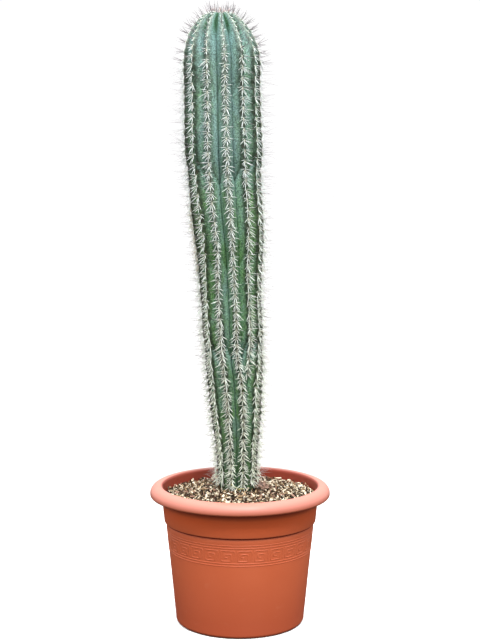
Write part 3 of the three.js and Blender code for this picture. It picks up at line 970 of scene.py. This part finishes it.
def pale_spines(stem, rib, horn):
    """The fan of spines at each areole of a rib: most spread sideways and down, some stand out."""
    spines = Needles(100 + rib)
    random = spines.random
    uniform = random.uniform
    for areole in areoles_on(stem, rib):
        youth = rise(areole.h, 602, 42)
        upper = rise(areole.h, 190, 70)
        high = rise(areole.h, 430, 70)
        foot = 1 - rise(areole.h, 30, 60)
        usual = lerp(lerp(lerp(3.3, 3.7, upper), 4.2, high), 1, youth) + 1.3 * foot
        least_swing = lerp(30, 22, upper)
        most_swing = lerp(76, 86, upper)
        swing_play = lerp(18, 9, upper)
        climb_reach = lerp(lerp(1.6, 3.2, upper), 1.3, youth)
        usual_size = SPINE_LENGTH * lerp(1.08, 1.04, upper) * lerp(1, 0.9, high)
        usual_size *= lerp(1, 0.4, youth) * lerp(1, 0.95, foot)
        usual_width = lerp(1.02, 0.98, upper) * lerp(1, 0.94, high) * lerp(1, 0.97, foot)
        for side in (-1, 1):
            count = round(usual + uniform(-0.7, 0.7))
            for k in range(count):
                share = k / max(1, count - 1)
                swing = lerp(least_swing, most_swing, share**1.2) + uniform(-1, 1) * swing_play
                size = usual_size * lerp(1, 0.76, abs(swing) / 80) * uniform(0.62, 1.3)
                climb = lerp(-1, 1, share) * climb_reach + uniform(-0.8, 0.8)
                width = usual_width * lerp(1.1, 0.92, share) * uniform(0.74, 1.06)
                spines.add_swung(areole, side * swing, uniform(10, 50), climb, size, width)
        if uniform() < 0.45 * (1 - 0.7 * youth):
            size = uniform(8, 12.5) * lerp(1, 0.5, youth)
            swing = uniform(-34, 34)
            lift = uniform(14, 42)
            width = uniform(0.72, 0.95) * lerp(1, 0.85, high)
            spines.add_swung(areole, swing, lift, -1.0, size, width)
        if uniform() < 0.3 * (1 - youth):
            swing = random.choice([-1, 1]) * uniform(35, 75)
            lift = uniform(20, 45)
            size = uniform(12, 16)
            width = uniform(0.8, 1.05) * lerp(1, 0.8, high)
            spines.add_swung(areole, swing, lift, 0.0, size, width)
    spines.piece(f"spines_rib_{rib + 1:02d}", horn, waver=0.05, droop=0.06)


def fine_spines(areoles, name, horn, seed, count, size, width, least_lift, spread):
    """Thin spines that stand off the skin round some areoles."""
    spines = Needles(seed)
    random = spines.random
    for areole in areoles:
        for _ in range(count):
            swing = random.uniform(-math.pi, math.pi)
            lift = math.radians(random.uniform(least_lift, 90))
            root = areole.centre + areole.upward * random.uniform(-spread, spread)
            length = random.uniform(*size) * lerp(1, 0.6, rise(areole.h, 600, 60))
            spines.add(root, areole.leaning(swing, lift), length)
    spines.piece(name, horn, waver=0.06, width=width)


def crown_spines(areoles, name, horn, seed, from_h, at_apex, size, width):
    """The long dark or short reddish spines of the youngest areoles, which stand out from the crown.

    at_apex is the share of the areoles near the apex that have them.
    """
    spines = Needles(seed)
    random = spines.random
    for areole in areoles:
        if areole.h <= from_h or random.uniform() > lerp(1, at_apex, rise(areole.h, 652, 20)):
            continue
        for _ in range(random.integers(1, 4)):
            up, across = random.normal(0, 0.24, 2)
            direction = areole.normal + areole.upward * (up + 0.05) + areole.sideways * across
            spines.add(areole.centre + areole.normal * 0.1, direction, random.uniform(*size))
    spines.piece(name, horn, waver=0.03, width=width)


def areole_felt(areoles, wool):
    """A low woolly mound at each areole."""
    random = np.random.default_rng(40)
    tip = len(FELT_RINGS) * FELT_SIDES
    faces = grid_faces(len(FELT_RINGS), FELT_SIDES).tolist()
    faces += [*fan(tip - FELT_SIDES, FELT_SIDES, tip), range(FELT_SIDES - 1, -1, -1)]
    felt = Pile()
    young = []
    for areole in areoles:
        size = lerp(0.8, 0.45, rise(areole.h, 600, 60)) * random.uniform(0.85, 1.15)
        size *= lerp(0.8, 1.0, rise(areole.h, 0, 240))
        points = []
        for share, lift in FELT_RINGS:
            for angle in np.arange(FELT_SIDES) / FELT_SIDES * TAU:
                reach = size * share * random.uniform(0.88, 1.12)
                flat = areole.sideways * (1.1 * math.cos(angle)) + areole.upward * (3.4 * math.sin(angle))
                points.append(areole.centre + flat * reach + areole.normal * (lift * size))
        points.append(areole.centre + areole.normal * (0.95 * size))
        felt.add(points, faces)
        young += [rise(areole.h, 60, 420)] * len(points)
    felt.piece("areole_felt", None, wool, attributes={"young": young})


def needlework(stem):
    """The felt and every kind of spine."""
    areoles = [areole for rib in range(RIBS) for areole in areoles_on(stem, rib)]
    areole_felt(areoles, felt_wool())
    horn = spine_horn("spine_pale", (210, 220, 202), (248, 255, 254))
    for rib in range(RIBS):
        pale_spines(stem, rib, horn)
    thin = spine_horn("spine_fine", (226, 226, 218), (172, 164, 170))
    fine_spines(areoles, "spines_fine", thin, 77, 5, (10, 28), (0.25, 0.37), 58, 3)
    bristle = spine_horn("spine_bristle", (206, 204, 184), (250, 244, 230))
    middle = [areole for areole in areoles if 120 < areole.h < 460]
    fine_spines(middle, "spines_bristle", bristle, 78, 8, (3.5, 13), (0.16, 0.25), 55, 5.5)
    low = [areole for areole in areoles if 0 < areole.h < 120]
    fine_spines(low, "spines_bristle_low", bristle, 80, 6, (3.5, 14), (0.16, 0.24), 50, 4.5)
    fuzz = spine_horn("spine_fuzz", (176, 160, 132), (226, 212, 188))
    fuzzy = [areole for rib in (8, 9) for areole in areoles_on(stem, rib) if 300 < areole.h < 405]
    fine_spines(fuzzy, "spines_fuzz", fuzz, 79, 36, (3, 7.5), (0.24, 0.36), 5, 6.5)
    dark = spine_horn("spine_dark", (140, 116, 120), (92, 80, 88))
    crown_spines(areoles, "spines_crown_dark", dark, 61, 606, 0.3, (12, 19), (0.561, 0.726))
    young = spine_horn("spine_young", (240, 222, 212), (232, 200, 196))
    crown_spines(areoles, "spines_crown_young", young, 62, 674, 0.8, (4, 8), (0.425, 0.55))


# The gravel

def stem_outline(angle, h):
    """The stem's radius at an angle round it, at a height near the soil."""
    edges = rib_edges(np.array([h]))[0]
    turn = (angle - edges[0]) % TAU + edges[0]
    rib = np.clip(np.searchsorted(edges, turn) - 1, 0, RIBS - 1)
    u = (turn - edges[rib]) / (edges[rib + 1] - edges[rib]) * 2 - 1
    growth = np.array([float(rib_growth(k, h)) for k in range(RIBS)])[rib]
    return crest_radius(h) * (1 - VALLEY_SHARE * (1 - growth * (1 - flank(u))))


def gravel_height(x, y, waves):
    """The gravel's surface: highest round the stem, lower at the back, and a little uneven."""
    out = np.hypot(x - STEM_X, y - STEM_Y)
    share = np.clip((out - GRAVEL_INNER_RADIUS) / (GRAVEL_RADIUS - GRAVEL_INNER_RADIUS), 0, 1)
    uneven = sum(a * np.sin(x * fx + y * fy + shift) for a, fx, fy, shift in waves)
    return lerp(GRAVEL_CROWN_Z, GRAVEL_EDGE_Z, share) + uneven - BACK_DROP * rise(y, 25, 75)


def stone_kinds(random):
    """A few angular stones, as convex hulls of points on a squashed ball."""
    kinds = []
    for _ in range(GRAIN_KINDS):
        mesh = bmesh.new()
        shape = np.array([1.3, random.uniform(0.4, 0.68), random.uniform(0.26, 0.46)])
        ball = unit(random.normal(size=(GRAIN_CORNERS, 3)))
        for point in ball * random.uniform(0.85, 1.1, (GRAIN_CORNERS, 1)):
            mesh.verts.new(point * shape)
        bmesh.ops.convex_hull(mesh, input=mesh.verts)
        inside = [vertex for vertex in mesh.verts if not vertex.link_faces]
        bmesh.ops.delete(mesh, geom=inside, context="VERTS")
        bmesh.ops.triangulate(mesh, faces=mesh.faces)
        bmesh.ops.recalc_face_normals(mesh, faces=mesh.faces)
        mesh.verts.index_update()
        corners = np.array([vertex.co[:] for vertex in mesh.verts])
        kinds.append((corners, [[vertex.index for vertex in face.verts] for face in mesh.faces]))
        mesh.free()
    return kinds


def turned_at_random(points, random):
    """Points in a random rotation."""
    rotation = Quaternion(unit(random.normal(size=4))).to_matrix()
    return points @ np.array(rotation).T


def grain_places(random, waves):
    """Centres and sizes of the grains, in layers of a jittered hexagonal grid."""
    places = []
    for pitch, lift, share in GRAIN_LAYERS:
        rows = int(GRAVEL_RADIUS / (pitch * GRAIN_ROW)) + 1
        play = GRAIN_JITTER * pitch
        for row in range(-rows, rows + 1):
            for column in range(-rows - 6, rows + 7):
                x = (column + 0.5 * (row % 2)) * pitch + random.uniform(-play, play)
                y = row * pitch * GRAIN_ROW + random.uniform(-play, play)
                size = float(np.clip(random.lognormal(math.log(GRAIN_SIZE), 0.3), 1.3, 4.0))
                chosen = random.uniform() < share
                if not chosen or math.hypot(x, y) > GRAVEL_RADIUS - size * 0.8:
                    continue
                angle = math.atan2(y - STEM_Y, x - STEM_X)
                if math.hypot(x - STEM_X, y - STEM_Y) < stem_outline(angle, -3.0) + size * 0.45:
                    continue
                z = gravel_height(x, y, waves) + lift + random.uniform(-0.7, 0.7)
                places.append((np.array([x, y, z]), size))
    return places


def gravel():
    """Loose angular grains in a few colours over a bed of potting mix, painted near black as the shade in
    the gaps between them.
    """
    random = np.random.default_rng(11)
    waves = [[random.uniform(*span) for span in WAVE_SPANS] for _ in range(WAVES)]
    kinds = stone_kinds(random)
    piles = [Pile() for _ in GRITS]
    shares = [share for _, share, _, _ in GRITS]
    for place, size in grain_places(random, waves):
        pile = piles[random.choice(len(GRITS), p=shares)]
        corners, faces = kinds[random.integers(len(kinds))]
        stone = turned_at_random(corners * size, random) * [1, 1, 0.85]
        pile.add(stone + place, faces)
    for pile, (name, _, dark, light) in zip(piles, GRITS):
        pile.piece(f"gravel_{name}", "gravel", grit(f"grit_{name}", dark, light), shade_smooth=False)
    gravel_bed(waves, random)


def gravel_bed(waves, random):
    """The uneven surface under the grains, painted dark as the shade between them, closed underneath."""
    angle = np.arange(BED_SIDES) / BED_SIDES * TAU
    inner = stem_outline(angle, -8.0) - 1.2
    rings = []
    for share in np.arange(BED_RINGS) / (BED_RINGS - 1):
        r = lerp(inner, GRAVEL_RADIUS - 0.2, share)
        x = lerp(STEM_X, 0, share) + r * np.cos(angle)
        y = lerp(STEM_Y, 0, share) + r * np.sin(angle)
        z = gravel_height(x, y, waves) - BED_DROP + random.uniform(-0.9, 0.9, BED_SIDES)
        rings.append(np.stack([x, y, z], axis=-1))
    for ring in (rings[-1], rings[0]):
        rings.append(ring * [1, 1, 0] + [0, 0, GRAVEL_BASE_Z])
    faces = grid_faces(len(rings), BED_SIDES, closed=True)[:, ::-1]
    # Painted shade: the bed is darker than the potting mix, so the gaps between the grains look dark.
    mix = potting_mix("gravel_bed_shaded_mix", (40, 29, 19), (14, 10, 6))
    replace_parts(mesh_piece("gravel_bed", np.vstack(rings), faces, "soil", mix), "gravel")


def chip_heap():
    """A small heap of brownish chips that leans on the stem's right side."""
    random = np.random.default_rng(23)
    kinds = stone_kinds(random)
    heap = Pile()
    for _ in range(HEAP_CHIPS):
        x, y = random.normal(0, 0.5, 2) * HEAP_SPREAD
        share = min(1.0, math.hypot(x / HEAP_SPREAD[0], y / HEAP_SPREAD[1]) / 1.2)
        z = GRAVEL_CROWN_Z + HEAP_HEIGHT * (1 - share) * random.uniform(0.1, 1)
        corners, faces = kinds[random.integers(len(kinds))]
        chip = turned_at_random(corners * random.uniform(1.6, 3.0), random)
        heap.add(chip + [HEAP_PLACE[0] + x, HEAP_PLACE[1] + y, z], faces)
    chips = grit("grit_chips", (96, 74, 62), (166, 136, 120))
    heap.piece("gravel_chips", "gravel", chips, shade_smooth=False)


def straw():
    """A bent bit of dry straw on the gravel, at the stem's foot."""
    bends = np.array(STRAW_BENDS)
    steps = np.diff(bends, axis=0)
    lengths = np.linalg.norm(steps, axis=1) * STRAW_OVERLAP
    widths = np.full(len(steps), STRAW_WIDTH)
    points, faces, along = tapered(bends[:-1], unit(steps), lengths, widths, 0 * steps, STRAW_SIDES)
    dry = spine_horn("dry_straw", (168, 160, 92), (204, 198, 132), 0.6)
    mesh_piece("straw", points, faces, None, dry, attributes={"along": along})


# The stage

def floor():
    """A white floor that lights nothing and that no gloss shows."""
    bpy.ops.mesh.primitive_circle_add(vertices=96, radius=FLOOR_RADIUS, fill_type="NGON")
    plane = bpy.context.object
    plane.name = "floor"
    look = Look("floor_white")
    away = look.add("ShaderNodeVectorMath", {"Vector": look.place()}, operation="LENGTH")["Value"]
    # Painted light: brighter round the pot, so that its shadow is washed out.
    tones = look.ramp(away, [(distance, grey(tone)) for distance, tone in FLOOR_TONES])
    plane.data.materials.append(look.made(tones, 0.9))
    plane.visible_diffuse = False
    plane.visible_glossy = False


def softbox():
    """The one lamp: a square softbox high up in front."""
    data = bpy.data.lights.new("key_softbox", "AREA")
    data.size = SOFTBOX_SIZE
    data.energy = SOFTBOX_WATTS
    lamp = placed("key_softbox", data, SOFTBOX_PLACE)
    lamp.rotation_mode = "QUATERNION"
    aim = Vector(SOFTBOX_TARGET) - Vector(SOFTBOX_PLACE)
    lamp.rotation_quaternion = aim.to_track_quat("-Z", "Y")


def sky():
    """Soft light from above, dimmer towards the horizon, with a white backdrop all round at eye level."""
    world = bpy.data.worlds.new("studio")
    nodes = Nodes(world)
    share = nodes.ranged(nodes.axis(nodes.place("Generated"), "Z"), -1.0, 1.0)
    stops = [((z + 1) / 2, grey(value / SKY_TOP)) for z, value in SKY]
    background = nodes.tree.nodes["Background"]
    nodes.join(nodes.ramp(share, stops), background.inputs["Color"])
    background.inputs["Strength"].default_value = SKY_TOP
    bpy.context.scene.world = world
    bpy.context.scene.view_settings.view_transform = "Standard"


def camera():
    """The eye's height, distance and tilt come from the ellipses that the pot's rim and foot show."""
    data = bpy.data.cameras.new("camera")
    data.sensor_width = SENSOR
    data.lens = LENS
    eye = placed("camera", data, EYE)
    eye.rotation_euler = (math.radians(90 - EYE_TILT_DEG), 0, 0)
    bpy.context.scene.camera = eye


def build(soil):
    """Every piece of the object. soil is the solid that is carried over as it is."""
    plastic = pot_plastic()
    pot_shell(plastic)
    meander(plastic)
    stem = Stem()
    stem_body(stem, stem_skin())
    needlework(stem)
    gravel()
    chip_heap()
    straw()
    soil.data.materials.clear()
    soil.data.materials.append(potting_mix("potting_mix", (64, 48, 36), (26, 19, 14)))


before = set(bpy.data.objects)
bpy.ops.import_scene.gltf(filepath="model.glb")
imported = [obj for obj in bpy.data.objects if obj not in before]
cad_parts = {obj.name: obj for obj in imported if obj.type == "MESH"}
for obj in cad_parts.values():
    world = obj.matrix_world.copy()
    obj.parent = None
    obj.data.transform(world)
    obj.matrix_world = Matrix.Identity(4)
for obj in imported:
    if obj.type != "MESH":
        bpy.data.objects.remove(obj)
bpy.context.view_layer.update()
sky()
softbox()
camera()
floor()
build(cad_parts["soil"])
